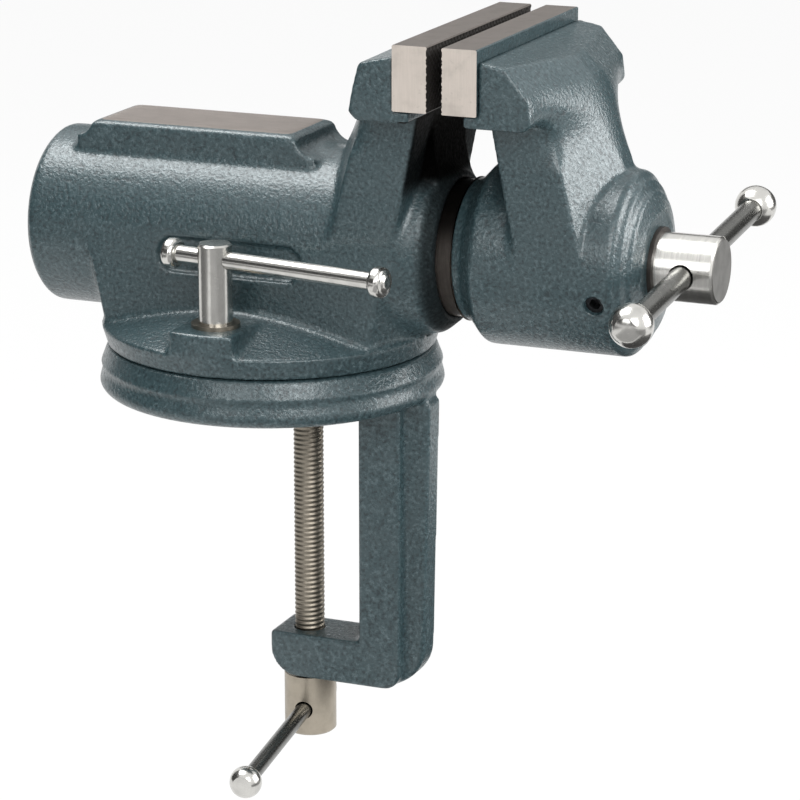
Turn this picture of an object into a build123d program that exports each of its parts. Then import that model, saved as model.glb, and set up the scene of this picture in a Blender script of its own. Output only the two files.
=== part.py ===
from build123d import *
import os
from math import cos, radians, sin

# Clamp-on bench vise: a swivelling cast body with a round sliding jaw on a C-frame bench clamp.
# Millimetres. The origin is the middle of the base ring's underside, which sits on the bench.
# +X runs along the spindle towards its handle, +Z is up.

# Clearances
running_clearance = 0.06
screw_clearance = 0.05
swivel_gap = 0.3
thread_gap = 0.05
rest_clearance = 0.4

# Edge broken on small turned pieces
turned_chamfer = 0.8

# Layout of the vise body
axis_height = 57.6
jaw_mid_x = 82.7
jaw_gap = 5.2
jaw_width = 100.0

# Base ring
ring_top = 17.2
ring_top_radius = 59.3
ring_crease_height = 9.4
ring_crease_radius = 62.0
ring_crease_depth = 0.9
ring_belly_height = 5.2
ring_belly_sweep = 75.0
ring_foot_radius = 57.6
spigot_radius = 15.0
spigot_height = 7.8
lock_radius = 47.0
slot_neck_width = 9.0
slot_neck_depth = 5.7
slot_wide_width = 16.0
slot_floor = 5.0
slot_entry_size = 16.4

# Bench clamp frame
post_inner_x = 37.8
post_web_x = 54.0
post_outer_x = 63.5
post_foot_x = 61.2
post_half_width = 10.5
stem_half_width = 5.4
arm_top = -91.0
arm_bottom = -107.9
arm_tip_x = 2.6
arm_tip_radius = 11.0
post_corner_radius = 7.0
frame_corner_radius = 16.0

# Clamp screw, its pad and its bar
clamp_x = 14.0
clamp_radius = 5.5
clamp_head_radius = 9.6
clamp_head_gap = 0.5
clamp_head_length = 22.6
clamp_bar_rise = 10.0
clamp_tip_radius = 4.9
bar_hole_gap = 0.5
clamp_bar_radius = 2.9
clamp_bar_yaw = 7.7
clamp_bar_near = 81.4
clamp_ball_radius = 5.7
pad_radius = 12.5
pad_top = -2.4
pad_thickness = 7.0
pad_roof = 1.8
pad_ring_height = -6.6
pad_ring_thickness = 1.0
pad_ring_depth = 0.8

# Body flange and pedestal
flange_rim_radius = 61.6
flange_rim_top = 25.0
flange_cone_radius = 32.0
flange_cone_top = 34.8
pedestal_low_radius = 58.6
pedestal_high_radius = 66.4
spigot_pocket_gap = 0.5
lug_radius = 12.0
lug_top = 33.0
panel_length = 55.8
panel_height = 13.0
panel_mid_x = -1.8
panel_mid_z = 53.2
panel_depth = 2.5

# Barrel
barrel_radius = 32.4
barrel_wall = 8.14
rear_wall = 6.4
barrel_rear_x = -83.0
barrel_edge_radius = 2.5
collar_start_x = 60.0
collar_x = 68.3
collar_drop = 1.8
mouth_x = 73.5
mouth_drop = 6.2
web_front_x = -32.0
web_thickness = 10.0

# Anvil
anvil_top = 96.4
anvil_rear_x = -62.4
anvil_front_x = 17.3
anvil_half_width = 18.0
anvil_cove = 8.0
anvil_rear_cove = 6.0

# Jaw head and leg, as distances out from the middle of the jaw gap
plate_thickness = 12.5
plate_bottom = 114.1
plate_top = 136.5
plate_chamfer = 0.4
head_width = 98.0
head_bottom = 109.7
head_shoulder = 120.8
head_top = 132.4
head_corner = 3.0
head_ledge = 9.9
moving_low_edge = 33.5
moving_low_ridge = 46.0
moving_shoulder_edge = 32.6
moving_shoulder_ridge = 41.6
moving_top_edge = 22.9
moving_top_ridge = 30.4
moving_top_slope = 10.0
fixed_low_edge = 31.5
fixed_low_ridge = 44.0
fixed_shoulder_edge = 30.1
fixed_shoulder_ridge = 36.6
fixed_top_edge = 27.1
fixed_top_ridge = 27.7
fixed_top_slope = 13.0
leg_top_inner = 12.9
leg_top_edge = 34.0
leg_knee_height = 84.0
leg_knee_inner = 18.0
leg_knee_edge = 40.8
leg_knee_ridge = 54.3
leg_foot_inner = 23.1
leg_foot_edge = 47.9
throat_middle = 96.0
throat_bottom = 78.0
throat_inner = 13.8
throat_foot = 10.0
throat_half_width = 16.0
ridge_half_width = 5.0
plate_screw_spacing = 60.0
plate_screw_radius = 2.9
plate_screw_head_radius = 5.2
plate_screw_depth = 9.0

# Sliding ram and hub, with the rings that step down to its nose
ram_rear_x = -24.0
ram_bore_radius = 14.2
ram_bore_end_x = 118.0
neck_x = 79.0
neck_step = 1.2
neck_end_x = 82.0
hub_start_x = 88.5
hub_front_x = 145.8
nose_land = 1.3
nose_land_drop = 0.7
nose_riser = 1.2
first_riser_drop = 2.0
second_riser_drop = 3.3
third_riser_drop = 4.8
nose_face_width = 0.6
nose_face_drop = 1.6
keyway_width = 6.0
keyway_depth = 3.6
keyway_start_x = 4.0
keyway_end_x = 70.0
guide_screw_x = 60.0
guide_screw_radius = 4.0
guide_screw_recess = 3.0

# Spindle, its nut and its fittings
spindle_thread_radius = 8.0
spindle_rear_x = -72.0
journal_radius = 10.0
journal_start_x = 120.0
spindle_head_radius = 11.8
spindle_head_length = 21.2
spindle_head_chamfer = 1.0
thrust_washer_thickness = 1.5
thrust_washer_radius = 13.4
keeper_x = 133.0
keeper_angle = 196.0
keeper_radius = 3.3
keeper_recess = 2.2
keeper_shoulder = 12.0
keeper_point_radius = 2.1
keeper_groove_width = 5.0
keeper_groove_radius = 8.4
nut_radius = 13.0
nut_front_x = -2.0
nut_flange_radius = 22.0
nut_flange_thickness = 6.0
nut_screw_circle = 17.5
nut_screw_radius = 2.5
nut_screw_head_radius = 4.0
nut_screw_head_height = 4.0
nut_screw_depth = 8.0
cap_thickness = 2.5
cap_inset = 0.6
cap_dish = 1.0
cap_rim = 5.0

# Spindle bar
bar_setback = 11.1
bar_radius = 4.0
bar_tilt = 4.6
bar_near = 64.1
bar_far = 77.5
bar_ball_radius = 7.5
ball_flat = 0.8

# Swivel locks
lock_post_radius = 6.0
lock_post_top = 62.6
lock_shank_radius = 4.0
lock_shank_end = 6.4
lock_washer_radius = 8.6
lock_washer_thickness = 1.4
lock_post_chamfer = 0.6
lock_bar_drop = 5.6
lock_bar_radius = 3.2
lock_bar_yaw = 8.9
lock_bar_short = 17.6
lock_bar_long = 66.8
lock_knob_radius = 5.4
lock_knob_length = 5.0
lock_knob_round = 1.8
tee_nut_width = 14.8
tee_nut_length = 14.0
tee_nut_height = 5.6
tee_nut_lift = 0.5
tee_neck_width = 8.4
tee_neck_height = 4.0

spindle_axis = Axis((0, 0, axis_height), (1, 0, 0))
clamp_axis = Axis((clamp_x, 0, 0), (0, 0, 1))
mirror_plane = Plane.YZ.offset(jaw_mid_x)
plate_face = jaw_gap / 2
plate_back = plate_face + plate_thickness
plate_mid = (plate_bottom + plate_top) / 2
web_rear_x = web_front_x - web_thickness
body_bottom = ring_top + swivel_gap
body_bore_radius = barrel_radius - barrel_wall
ram_radius = body_bore_radius - running_clearance
neck_radius = ram_radius + neck_step
rear_bore_radius = barrel_radius - rear_wall
hub_radius = barrel_radius
spindle_head_start_x = hub_front_x + thrust_washer_thickness
spindle_head_end_x = spindle_head_start_x + spindle_head_length
bar_x = spindle_head_end_x - bar_setback
lock_bar_height = lock_post_top - lock_bar_drop
clamp_head_top = arm_bottom - clamp_head_gap
clamp_head_bottom = clamp_head_top - clamp_head_length
clamp_bar_height = clamp_head_bottom + clamp_bar_rise

os.makedirs("parts", exist_ok=True)


def save(builder, name):
    """Label a finished piece and write its file."""
    builder.part.label = name
    export_step(builder.part, f"parts/{name}.step")


def turned_x(stations):
    """Half outline about the spindle axis from (x, radius) stations."""
    with BuildSketch(Plane.XZ) as outline:
        with BuildLine():
            Polyline(*[(x, axis_height + r) for x, r in stations], close=True)
        make_face()
    return outline.sketch


def turned_z(stations, centre_x=0.0):
    """Half outline about an upright axis from (radius, z) stations."""
    with BuildSketch(Plane.XZ) as outline:
        with BuildLine():
            Polyline(*[(centre_x + r, z) for r, z in stations], close=True)
        make_face()
    return outline.sketch


def disc_x(x, radius):
    """Disc square to the spindle axis at x."""
    with BuildSketch(Plane.YZ.offset(x)) as outline:
        with Locations((0, axis_height)):
            Circle(radius)
    return outline.sketch


def disc_z(x, y, z, radius):
    """Level disc centred at (x, y, z)."""
    with BuildSketch(Plane.XY.offset(z)) as outline:
        with Locations((x, y)):
            Circle(radius)
    return outline.sketch


def disc_on(plane, radius):
    """Disc centred on a plane's origin."""
    with BuildSketch(plane) as outline:
        Circle(radius)
    return outline.sketch


def wedge_section(height, inner, edge, ridge, half_width):
    """Plan of a jaw at one height: flat towards the gap, a blunt ridge on the outside."""
    with BuildSketch(Plane.XY.offset(height)) as outline:
        with BuildLine():
            Polyline(
                (jaw_mid_x + inner, -half_width),
                (jaw_mid_x + edge, -half_width),
                (jaw_mid_x + ridge, -ridge_half_width),
                (jaw_mid_x + ridge, ridge_half_width),
                (jaw_mid_x + edge, half_width),
                (jaw_mid_x + inner, half_width),
                close=True,
            )
        make_face()
    return outline.sketch


# Base ring with the bench clamp's C-frame, one casting
with BuildPart() as base_casting:
    with BuildSketch(Plane.XZ) as ring_section:
        with BuildLine():
            foot = Line((0, 0), (ring_foot_radius, 0))
            belly = JernArc(foot @ 1, (1, 0), ring_belly_height, ring_belly_sweep)
            waist = Line(belly @ 1, (ring_crease_radius - ring_crease_depth, ring_crease_height))
            Polyline(
                waist @ 1,
                (ring_crease_radius, ring_crease_height + ring_crease_depth),
                (ring_top_radius, ring_top),
                (spigot_radius, ring_top),
                (spigot_radius, ring_top + spigot_height),
                (0, ring_top + spigot_height),
                (0, 0),
            )
        make_face()
    revolve(axis=Axis.Z)
    slot_neck_bottom = ring_top - slot_neck_depth
    slot_section = turned_z(
        [
            (lock_radius - slot_wide_width / 2, slot_floor),
            (lock_radius + slot_wide_width / 2, slot_floor),
            (lock_radius + slot_wide_width / 2, slot_neck_bottom),
            (lock_radius + slot_neck_width / 2, slot_neck_bottom),
            (lock_radius + slot_neck_width / 2, ring_top),
            (lock_radius - slot_neck_width / 2, ring_top),
            (lock_radius - slot_neck_width / 2, slot_neck_bottom),
            (lock_radius - slot_wide_width / 2, slot_neck_bottom),
        ]
    )
    revolve(slot_section, axis=Axis.Z, mode=Mode.SUBTRACT)
    with BuildSketch(Plane.XY.offset(slot_floor)) as slot_entry:
        with Locations((-lock_radius, 0)):
            Rectangle(slot_entry_size, slot_entry_size)
    extrude(amount=ring_top - slot_floor, mode=Mode.SUBTRACT)
    with BuildSketch(Plane.XZ.offset(-post_half_width)) as frame_outline:
        with BuildLine():
            Polyline(
                (post_inner_x, ring_belly_height / 2),
                (post_inner_x, arm_top),
                (arm_tip_x, arm_top),
                (arm_tip_x, arm_bottom),
                (post_web_x, arm_bottom),
                (post_web_x, ring_belly_height / 2),
                close=True,
            )
        make_face()
        fillet(frame_outline.vertices().group_by(Axis.Y)[0].sort_by(Axis.X)[0], arm_tip_radius)
        fillet(frame_outline.vertices().group_by(Axis.Y)[0].sort_by(Axis.X)[-1], post_corner_radius)
    extrude(amount=2 * post_half_width)
    with BuildSketch(Plane.XZ.offset(-stem_half_width)) as stem_outline:
        with BuildLine():
            Polyline(
                (post_inner_x, ring_belly_height),
                (post_inner_x, arm_bottom),
                (post_foot_x, arm_bottom),
                (post_outer_x, 0),
                (ring_foot_radius, ring_belly_height),
                close=True,
            )
        make_face()
        fillet(stem_outline.vertices().group_by(Axis.Y)[0].sort_by(Axis.X)[-1], frame_corner_radius)
    extrude(amount=2 * stem_half_width)
    clamp_hole = disc_z(clamp_x, 0, arm_bottom, clamp_radius + thread_gap)
    extrude(clamp_hole, amount=arm_top - arm_bottom, mode=Mode.SUBTRACT)
save(base_casting, "base_casting")


# Head and leg of a jaw, drawn on the sliding side
def jaw_form(low_edge, low_ridge, shoulder_edge, shoulder_ridge, top_edge, top_ridge, top_slope):
    """Wedge-shaped head on a leg that runs down to the spindle axis, with the plate's seat cut out."""
    half_head = head_width / 2
    with BuildPart() as form:
        loft(
            [
                wedge_section(head_bottom, head_ledge, low_edge - head_corner, low_ridge, half_head),
                wedge_section(head_bottom + head_corner, head_ledge, low_edge, low_ridge, half_head),
                wedge_section(head_shoulder, head_ledge, shoulder_edge, shoulder_ridge, half_head),
                wedge_section(head_top, head_ledge, top_edge, top_ridge, half_head),
            ],
            ruled=True,
        )
        slope_run = jaw_width * cos(radians(top_slope))
        slope_drop = jaw_width * sin(radians(top_slope))
        with BuildSketch(Plane.XZ.offset(-jaw_width)) as above_head:
            with BuildLine():
                Polyline(
                    (jaw_mid_x + plate_back, head_top),
                    (jaw_mid_x + plate_back + slope_run, head_top - slope_drop),
                    (jaw_mid_x + jaw_width, head_top + jaw_width),
                    close=True,
                )
            make_face()
        extrude(amount=2 * jaw_width, mode=Mode.SUBTRACT)
        loft(
            [
                wedge_section(head_bottom, leg_top_inner, leg_top_edge, low_ridge, barrel_radius),
                wedge_section(leg_knee_height, leg_knee_inner, leg_knee_edge, leg_knee_ridge, barrel_radius),
                wedge_section(axis_height, leg_foot_inner, leg_foot_edge, leg_knee_ridge, barrel_radius),
            ],
            ruled=True,
        )
        with BuildSketch(Plane.XZ.offset(-throat_half_width)) as throat_web:
            with BuildLine():
                hollow = ThreePointArc(
                    (jaw_mid_x + leg_top_inner, head_bottom),
                    (jaw_mid_x + throat_inner, throat_middle),
                    (jaw_mid_x + throat_foot, throat_bottom),
                )
                Polyline(hollow @ 1, (jaw_mid_x + leg_top_edge, throat_bottom), hollow @ 0)
            make_face()
        extrude(amount=2 * throat_half_width)
        with BuildSketch(Plane.XY.offset(plate_bottom)) as plate_seat:
            with Locations((jaw_mid_x + plate_back / 2, 0)):
                Rectangle(plate_back, jaw_width)
        extrude(amount=plate_top - plate_bottom, mode=Mode.SUBTRACT)
        for side in (-1, 1):
            hole_start = (jaw_mid_x + plate_back, side * plate_screw_spacing / 2, plate_mid)
            plate_hole = disc_on(Plane(hole_start, z_dir=(1, 0, 0)), plate_screw_radius + screw_clearance)
            extrude(plate_hole, amount=plate_screw_depth, mode=Mode.SUBTRACT)
    return form.part


moving_form = jaw_form(
    moving_low_edge,
    moving_low_ridge,
    moving_shoulder_edge,
    moving_shoulder_ridge,
    moving_top_edge,
    moving_top_ridge,
    moving_top_slope,
)
fixed_form = jaw_form(
    fixed_low_edge,
    fixed_low_ridge,
    fixed_shoulder_edge,
    fixed_shoulder_ridge,
    fixed_top_edge,
    fixed_top_ridge,
    fixed_top_slope,
)


# Vise body: flange, pedestal, barrel, anvil and the fixed jaw, one casting
with BuildPart() as pedestal_form:
    revolve(
        turned_z(
            [
                (0, body_bottom),
                (pedestal_low_radius, body_bottom),
                (pedestal_high_radius, axis_height),
                (0, axis_height),
            ]
        ),
        axis=Axis.Z,
    )
    with BuildSketch(Plane.XY.offset(body_bottom)) as wall_limits:
        Rectangle(2 * pedestal_high_radius, 2 * barrel_radius)
    extrude(amount=axis_height - body_bottom, mode=Mode.INTERSECT)

with BuildPart() as lug_form:
    with BuildSketch(Plane.XY.offset(flange_rim_top)) as lug_plan:
        for side in (-1, 1):
            with Locations((0, side * lock_radius)):
                Circle(lug_radius)
            with Locations((0, side * flange_rim_radius)):
                Rectangle(2 * lug_radius, 2 * (flange_rim_radius - lock_radius))
        Rectangle(2 * lug_radius, 2 * lock_radius)
        Circle(flange_rim_radius, mode=Mode.INTERSECT)
    extrude(amount=lug_top - flange_rim_top)

with BuildPart() as body_casting:
    revolve(
        turned_z(
            [
                (0, body_bottom),
                (ring_top_radius, body_bottom),
                (flange_rim_radius, flange_rim_top),
                (flange_cone_radius, flange_cone_top),
                (0, flange_cone_top),
            ]
        ),
        axis=Axis.Z,
    )
    add(pedestal_form.part)
    add(lug_form.part)
    revolve(
        turned_x(
            [
                (barrel_rear_x, 0),
                (barrel_rear_x, barrel_radius - barrel_edge_radius),
                (barrel_rear_x + barrel_edge_radius, barrel_radius),
                (collar_start_x, barrel_radius),
                (collar_x, barrel_radius - collar_drop),
                (mouth_x, barrel_radius - mouth_drop),
                (mouth_x, 0),
            ]
        ),
        axis=spindle_axis,
    )
    with BuildSketch(Plane.XZ.offset(-anvil_half_width)) as anvil_outline:
        with BuildLine():
            top_edge = Line((anvil_rear_x, anvil_top), (anvil_front_x, anvil_top))
            front_cove = JernArc(top_edge @ 1, (0, -1), anvil_cove, 90)
            foot_run = Polyline(
                front_cove @ 1,
                ((front_cove @ 1).X, axis_height),
                (anvil_rear_x - anvil_rear_cove, axis_height),
                (anvil_rear_x - anvil_rear_cove, anvil_top - anvil_rear_cove),
            )
            JernArc(foot_run @ 1, (1, 0), anvil_rear_cove, 90)
        make_face()
    extrude(amount=2 * anvil_half_width)
    mirror(fixed_form, about=mirror_plane)
    for side in (-1, 1):
        panel_middle = (panel_mid_x, side * barrel_radius, panel_mid_z)
        with BuildSketch(Plane(panel_middle, x_dir=(1, 0, 0), z_dir=(0, -side, 0))) as panel:
            SlotOverall(panel_length, panel_height)
        extrude(amount=panel_depth, mode=Mode.SUBTRACT)
    extrude(disc_x(web_front_x, body_bore_radius), amount=mouth_x - web_front_x, mode=Mode.SUBTRACT)
    extrude(disc_x(web_rear_x, nut_radius), amount=web_thickness, mode=Mode.SUBTRACT)
    extrude(disc_x(barrel_rear_x, rear_bore_radius), amount=web_rear_x - barrel_rear_x, mode=Mode.SUBTRACT)
    for side in (-1, 1):
        thread_plane = Plane((web_rear_x, side * nut_screw_circle, axis_height), z_dir=(1, 0, 0))
        extrude(disc_on(thread_plane, nut_screw_radius), amount=nut_screw_depth, mode=Mode.SUBTRACT)
        extrude(
            disc_z(0, side * lock_radius, body_bottom, lock_shank_radius + screw_clearance),
            amount=lug_top - body_bottom,
            mode=Mode.SUBTRACT,
        )
    extrude(
        disc_z(0, 0, body_bottom, spigot_radius + running_clearance),
        amount=spigot_height - swivel_gap + spigot_pocket_gap,
        mode=Mode.SUBTRACT,
    )
    extrude(
        disc_z(guide_screw_x, 0, axis_height - barrel_radius, guide_screw_radius),
        amount=barrel_radius - body_bore_radius + keyway_depth,
        mode=Mode.SUBTRACT,
    )
save(body_casting, "body_casting")


# Jaw plates: the sliding side's plate is drawn and the fixed one mirrors it
with BuildPart() as moving_jaw_plate:
    with BuildSketch(Plane.XY.offset(plate_bottom)) as plate_plan:
        with Locations((jaw_mid_x + (plate_face + plate_back) / 2, 0)):
            Rectangle(plate_thickness, jaw_width)
    extrude(amount=plate_top - plate_bottom)
    chamfer(moving_jaw_plate.edges().filter_by(Axis.Y), plate_chamfer)
    for side in (-1, 1):
        screw_plane = Plane(
            (jaw_mid_x + plate_face, side * plate_screw_spacing / 2, plate_mid), z_dir=(-1, 0, 0)
        )
        with Locations(screw_plane):
            CounterSinkHole(
                plate_screw_radius + screw_clearance,
                plate_screw_head_radius + screw_clearance,
                plate_thickness,
            )
save(moving_jaw_plate, "moving_jaw_plate")

with BuildPart() as fixed_jaw_plate:
    mirror(moving_jaw_plate.part, about=mirror_plane)
save(fixed_jaw_plate, "fixed_jaw_plate")

with BuildPart() as moving_jaw_screws:
    for side in (-1, 1):
        face_x = jaw_mid_x + plate_face
        screw_line = Axis((0, side * plate_screw_spacing / 2, plate_mid), (1, 0, 0))
        cone_depth = plate_screw_head_radius - plate_screw_radius
        screw_end = face_x + plate_thickness + plate_screw_depth - rest_clearance
        with BuildSketch(Plane.XZ.offset(-side * plate_screw_spacing / 2)) as screw_outline:
            with BuildLine():
                Polyline(
                    (face_x, plate_mid),
                    (face_x, plate_mid + plate_screw_head_radius),
                    (face_x + cone_depth, plate_mid + plate_screw_radius),
                    (screw_end, plate_mid + plate_screw_radius),
                    (screw_end, plate_mid),
                    close=True,
                )
            make_face()
        revolve(screw_outline.sketch, axis=screw_line)
save(moving_jaw_screws, "moving_jaw_screws")

with BuildPart() as fixed_jaw_screws:
    mirror(moving_jaw_screws.part, about=mirror_plane)
save(fixed_jaw_screws, "fixed_jaw_screws")


# Sliding jaw: hub, leg, head and the round ram, one casting
with BuildPart() as moving_jaw:
    hub_profile = [(neck_x, 0), (neck_x, neck_radius), (neck_end_x, neck_radius), (hub_start_x, hub_radius)]
    risers = (first_riser_drop, second_riser_drop, third_riser_drop)
    ring_x = hub_front_x - nose_face_width - len(risers) * (nose_land + nose_riser)
    ring_radius = hub_radius
    hub_profile.append((ring_x, ring_radius))
    for riser_drop in risers:
        hub_profile.append((ring_x + nose_land, ring_radius - nose_land_drop))
        ring_x += nose_land + nose_riser
        ring_radius -= nose_land_drop + riser_drop
        hub_profile.append((ring_x, ring_radius))
    hub_profile.append((hub_front_x, ring_radius - nose_face_drop))
    hub_profile.append((hub_front_x, 0))
    revolve(turned_x(hub_profile), axis=spindle_axis)
    add(moving_form)
    extrude(disc_x(ram_rear_x, ram_radius), amount=neck_x - ram_rear_x)
    extrude(disc_x(ram_rear_x, ram_bore_radius), amount=ram_bore_end_x - ram_rear_x, mode=Mode.SUBTRACT)
    extrude(
        disc_x(ram_bore_end_x, journal_radius + running_clearance),
        amount=hub_front_x - ram_bore_end_x,
        mode=Mode.SUBTRACT,
    )
    with BuildSketch(Plane.XY.offset(axis_height - ram_radius)) as keyway:
        with Locations(((keyway_start_x + keyway_end_x) / 2, 0)):
            SlotOverall(keyway_end_x - keyway_start_x, keyway_width)
    extrude(amount=keyway_depth, mode=Mode.SUBTRACT)
    keeper_way = (0, cos(radians(keeper_angle)), sin(radians(keeper_angle)))
    keeper_plane = Plane((keeper_x, 0, axis_height), x_dir=(1, 0, 0), z_dir=keeper_way)
    keeper_hole = disc_on(keeper_plane, keeper_radius + screw_clearance)
    extrude(keeper_hole, amount=hub_radius + rest_clearance, mode=Mode.SUBTRACT)
save(moving_jaw, "moving_jaw")

with BuildPart() as keeper_screw:
    extrude(
        disc_on(keeper_plane.offset(keeper_shoulder), keeper_radius),
        amount=hub_radius - keeper_recess - keeper_shoulder,
    )
    extrude(
        disc_on(keeper_plane.offset(keeper_groove_radius + rest_clearance), keeper_point_radius),
        amount=keeper_shoulder - keeper_groove_radius - rest_clearance,
    )
    with BuildSketch(keeper_plane.offset(hub_radius - keeper_recess)) as hex_socket:
        RegularPolygon(keeper_point_radius, 6)
    extrude(amount=-keeper_radius, mode=Mode.SUBTRACT)
save(keeper_screw, "keeper_screw")

with BuildPart() as thrust_washer:
    extrude(disc_x(hub_front_x, thrust_washer_radius), amount=thrust_washer_thickness)
    extrude(
        disc_x(hub_front_x, journal_radius + running_clearance),
        amount=thrust_washer_thickness,
        mode=Mode.SUBTRACT,
    )
save(thrust_washer, "thrust_washer")

with BuildPart() as guide_screw:
    screw_bottom = axis_height - barrel_radius + guide_screw_recess
    extrude(
        disc_z(guide_screw_x, 0, screw_bottom, guide_screw_radius),
        amount=axis_height - body_bore_radius - rest_clearance - screw_bottom,
    )
    extrude(
        disc_z(guide_screw_x, 0, screw_bottom, keyway_width / 2 - running_clearance),
        amount=axis_height - ram_radius + keyway_depth - rest_clearance - screw_bottom,
    )
    with BuildSketch(Plane.XY.offset(screw_bottom)) as guide_socket:
        with Locations((guide_screw_x, 0)):
            RegularPolygon(keyway_width / 2 - running_clearance, 6)
    extrude(amount=guide_screw_radius / 2, mode=Mode.SUBTRACT)
save(guide_screw, "guide_screw")


# Spindle nut, its screws and the cap that closes the barrel
with BuildPart() as spindle_nut:
    extrude(disc_x(web_rear_x, nut_radius), amount=nut_front_x - web_rear_x)
    extrude(disc_x(web_rear_x - nut_flange_thickness, nut_flange_radius), amount=nut_flange_thickness)
    extrude(
        disc_x(web_rear_x - nut_flange_thickness, spindle_thread_radius + thread_gap),
        amount=nut_front_x - web_rear_x + nut_flange_thickness,
        mode=Mode.SUBTRACT,
    )
    for side in (-1, 1):
        flange_plane = Plane(
            (web_rear_x - nut_flange_thickness, side * nut_screw_circle, axis_height), z_dir=(1, 0, 0)
        )
        extrude(disc_on(flange_plane, nut_screw_radius), amount=nut_flange_thickness, mode=Mode.SUBTRACT)
save(spindle_nut, "spindle_nut")

with BuildPart() as nut_screws:
    for side in (-1, 1):
        seat_plane = Plane(
            (web_rear_x - nut_flange_thickness, side * nut_screw_circle, axis_height), z_dir=(1, 0, 0)
        )
        screw_length = nut_flange_thickness + nut_screw_depth - rest_clearance
        extrude(disc_on(seat_plane, nut_screw_radius), amount=screw_length)
        extrude(disc_on(seat_plane, nut_screw_head_radius), amount=-nut_screw_head_height)
save(nut_screws, "nut_screws")

with BuildPart() as rear_cap:
    cap_rear_x = barrel_rear_x + cap_inset
    extrude(disc_x(cap_rear_x, rear_bore_radius), amount=cap_thickness)
    extrude(disc_x(cap_rear_x, rear_bore_radius - cap_rim), amount=cap_dish, mode=Mode.SUBTRACT)
save(rear_cap, "rear_cap")


# Spindle with its cross hole, and the bar with a ball on each end
bar_way = (0, cos(radians(bar_tilt)), sin(radians(bar_tilt)))
bar_plane = Plane((bar_x, 0, axis_height), x_dir=(1, 0, 0), z_dir=bar_way)

with BuildPart() as spindle:
    groove_start = keeper_x - keeper_groove_width / 2
    groove_end = keeper_x + keeper_groove_width / 2
    revolve(
        turned_x(
            [
                (spindle_rear_x, 0),
                (spindle_rear_x, spindle_thread_radius),
                (journal_start_x, spindle_thread_radius),
                (journal_start_x, journal_radius),
                (groove_start, journal_radius),
                (groove_start, keeper_groove_radius),
                (groove_end, keeper_groove_radius),
                (groove_end, journal_radius),
                (spindle_head_start_x, journal_radius),
                (spindle_head_start_x, spindle_head_radius),
                (spindle_head_end_x - spindle_head_chamfer, spindle_head_radius),
                (spindle_head_end_x, spindle_head_radius - spindle_head_chamfer),
                (spindle_head_end_x, 0),
            ]
        ),
        axis=spindle_axis,
    )
    extrude(
        disc_on(bar_plane, bar_radius + bar_hole_gap),
        amount=2 * spindle_head_radius,
        both=True,
        mode=Mode.SUBTRACT,
    )
save(spindle, "spindle")

with BuildPart() as spindle_bar:
    extrude(disc_on(bar_plane.offset(-bar_near), bar_radius), amount=bar_near + bar_far)
save(spindle_bar, "spindle_bar")


def bar_ball(plane, radius, bore_radius):
    """Ball with a small flat, bored halfway to take a bar that comes in along the plane's -Z."""
    with BuildPart() as ball:
        with BuildSketch(Plane.XZ) as half_ball:
            with Locations((0, -ball_flat / 2)):
                Circle(radius)
            with Locations((0, radius - ball_flat)):
                Rectangle(2 * radius, 2 * ball_flat, mode=Mode.SUBTRACT)
            with Locations((-radius, 0)):
                Rectangle(2 * radius, 4 * radius, mode=Mode.SUBTRACT)
        revolve(axis=Axis.Z)
        extrude(disc_z(0, 0, 0, bore_radius), amount=-2 * radius, mode=Mode.SUBTRACT)
    return plane * ball.part


for end, offset_along, flip in (("near", -bar_near, -1), ("far", bar_far, 1)):
    end_plane = Plane(bar_plane.offset(offset_along).origin, x_dir=(1, 0, 0), z_dir=Vector(bar_way) * flip)
    with BuildPart() as spindle_bar_ball:
        add(bar_ball(end_plane, bar_ball_radius, bar_radius))
    save(spindle_bar_ball, f"spindle_bar_ball_{end}")


# Swivel locks: a screw post with a sliding bar on each side of the body
def lock_bar_plane(side):
    """Plane at the post's cross hole whose normal runs along the bar to its long end."""
    along = (cos(radians(lock_bar_yaw)), side * sin(radians(lock_bar_yaw)), 0)
    return Plane((0, side * lock_radius, lock_bar_height), x_dir=(0, 0, 1), z_dir=along)


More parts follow.
